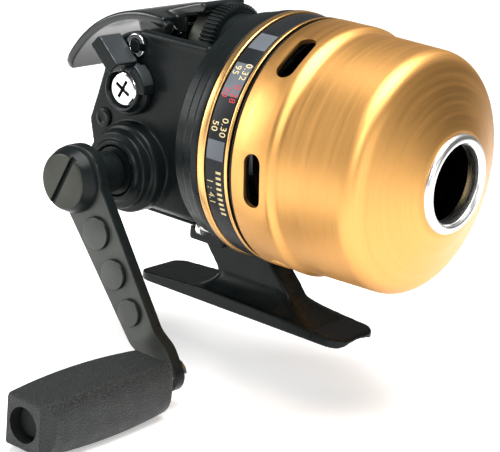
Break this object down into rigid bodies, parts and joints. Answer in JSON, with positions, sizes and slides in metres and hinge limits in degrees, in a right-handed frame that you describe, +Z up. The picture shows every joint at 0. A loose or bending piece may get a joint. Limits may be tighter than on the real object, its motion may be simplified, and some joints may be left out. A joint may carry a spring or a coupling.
{
  "type": "spincast fishing reel",
  "caption": "Closed-face fishing reel with a rounded cover, side crank and grip, thumb paddle, anti-reverse lever, drag dial and rod foot.",
  "frame": {"origin": "the middle of the crown under the foot, where a rod's seat meets it, directly below the rear edge of the rear trim ring", "axes": "+X along the reel's axis towards the line guide, +Z up from the rod through the reel's axis, crank on the -Y side"},
  "size_m": [0.1133, 0.1111, 0.0905],
  "materials": {
    "gold": "gold anodised aluminium, brushed round the axis",
    "black_body": "satin black moulding",
    "grey_metal": "dark grey satin paint",
    "chrome": "bright plated",
    "label": "printed black band",
    "rubber": "matt pebbled black",
    "steel": "turned bare steel",
    "brass": "turned brass",
    "nylon": "natural nylon"
  },
  "bodies": {
    "reel_body": {"front_cover": "gold", "line_guide_ring": "chrome", "rear_trim_ring": "gold", "label_band": "label", "front_trim_ring": "gold", "cover_seal": "rubber", "front_frame": "black_body", "rear_housing": "black_body", "side_plug": "black_body", "housing_screw_1": "chrome", "housing_screw_2": "chrome", "reel_foot": "black_body", "foot_screw_1": "steel", "foot_screw_2": "steel", "pinion_bush": "brass", "pinion_bearing": "steel", "crank_bush_right": "brass", "crank_bush_left": "brass", "thumb_pin": "chrome", "clip_right": "chrome", "clip_left": "chrome", "thumb_spring": "steel", "dial_stud": "steel", "drag_pusher": "steel", "spool_post": "steel", "drag_plate": "steel", "drag_washer": "nylon", "spool_clip": "steel", "pickup_cam": "nylon"},
    "crank": {"crank_shaft": "steel", "drive_gear": "brass", "ratchet": "steel", "crank_collar": "black_body", "handle_arm": "grey_metal", "arm_cap": "grey_metal", "knob_spindle": "chrome"},
    "knob": {"crank_knob": "rubber"},
    "pinion": {"pinion_gear": "steel"},
    "winder": {"centre_shaft": "steel", "shaft_spring": "steel", "winding_cup": "steel", "rotor_nut": "brass"},
    "pickup": {"pickup_pin": "chrome"},
    "thumb_paddle": {"thumb_lever": "black_body"},
    "anti_reverse": {"anti_reverse_lever": "black_body", "anti_reverse_screw": "chrome", "anti_reverse_pawl": "steel"},
    "dial": {"drag_dial": "black_body"},
    "spool": {"spool": "grey_metal"}
  },
  "joints": [
    {"name": "crank_turn", "type": "hinge", "parent": "reel_body", "child": "crank", "pos_m": [-0.0302, 0, 0.0314], "axis": [0, 1, 0], "continuous": true},
    {"name": "knob_spin", "type": "hinge", "parent": "crank", "child": "knob", "pos_m": [0.00035, -0.058, -0.00944], "axis": [0, 1, 0], "continuous": true},
    {"name": "pinion_spin", "type": "hinge", "parent": "reel_body", "child": "pinion", "pos_m": [-0.0302, 0, 0.044], "axis": [1, 0, 0], "continuous": true},
    {"name": "shaft_slide", "type": "slide", "parent": "pinion", "child": "winder", "axis": [1, 0, 0], "range_m": [0, 0.0045], "stiffness_N_per_m": 600, "springref_m": -0.003},
    {"name": "pickup_retract", "type": "slide", "parent": "winder", "child": "pickup", "axis": [0, -0.5, 0.866], "range_m": [-0.0023, 0]},
    {"name": "thumb_press", "type": "hinge", "parent": "reel_body", "child": "thumb_paddle", "pos_m": [-0.0311, 0, 0.0614], "axis": [0, 1, 0], "range_deg": [-13, 0]},
    {"name": "anti_reverse_set", "type": "hinge", "parent": "reel_body", "child": "anti_reverse", "pos_m": [-0.032, -0.018, 0.0508], "axis": [0, 1, 0], "range_deg": [-14, 0]},
    {"name": "drag_set", "type": "hinge", "parent": "reel_body", "child": "dial", "pos_m": [-0.0174, 0, 0.062], "axis": [1, 0, 0], "range_deg": [-150, 150]},
    {"name": "spool_slip", "type": "hinge", "parent": "reel_body", "child": "spool", "pos_m": [0.014, 0, 0.044], "axis": [1, 0, 0], "continuous": true}
  ],
  "couplings": [
    {"joint": "pinion_spin", "follows": "crank_turn", "ratio": -4.1},
    {"joint": "thumb_press", "follows": "shaft_slide", "rad_per_m": -50.25},
    {"joint": "pickup_retract", "follows": "shaft_slide", "ratio": -0.488}
  ]
}
